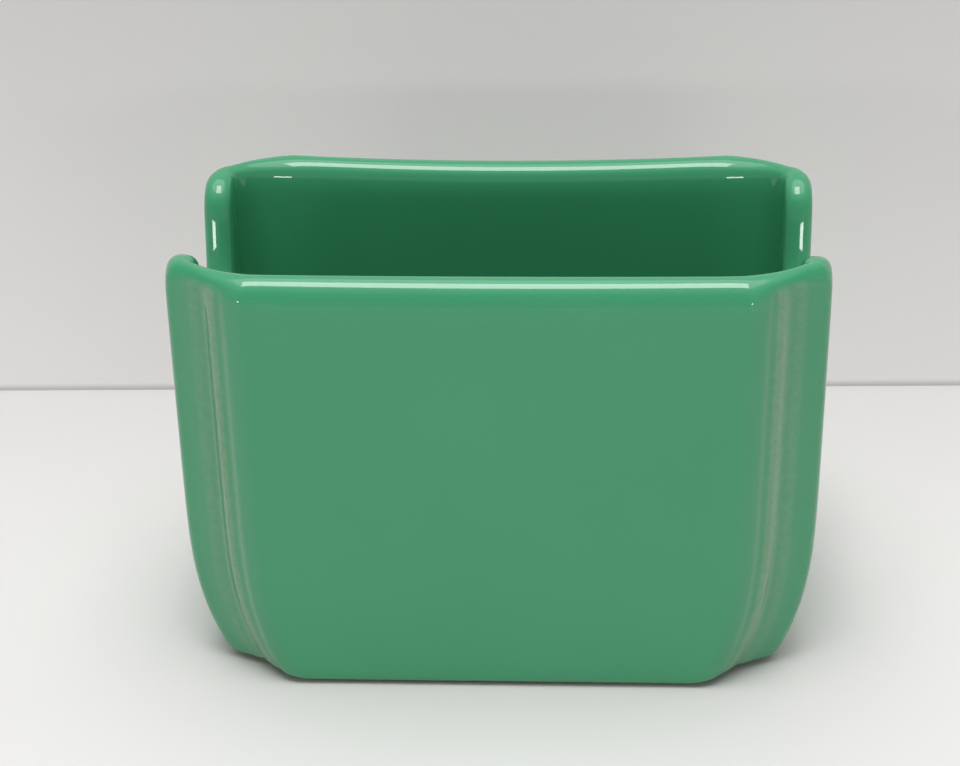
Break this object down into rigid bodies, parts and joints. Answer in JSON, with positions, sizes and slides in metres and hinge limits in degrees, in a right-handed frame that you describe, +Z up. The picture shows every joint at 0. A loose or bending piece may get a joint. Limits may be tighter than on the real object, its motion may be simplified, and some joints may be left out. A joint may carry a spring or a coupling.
{
  "type": "sugar packet holder",
  "caption": "Upright rectangular glazed ceramic caddy, open at the top, with scooped ends and ribbed corners, that holds a row of flat sugar packets on edge.",
  "frame": {"origin": "centre of the bounding box's bottom, in the plane of the table that the foot stands on", "axes": "+X along the length, from one scooped end to the other; +Y along the depth, from the front face to the rear face; +Z up"},
  "size_m": [0.0964, 0.0616, 0.065],
  "materials": {
    "clay": "matt, bare fired clay",
    "glaze": "glossy"
  },
  "bodies": {
    "root": {"clay_body": "clay", "glaze_coat": "glaze", "base_glaze": "glaze"}
  },
  "joints": []
}
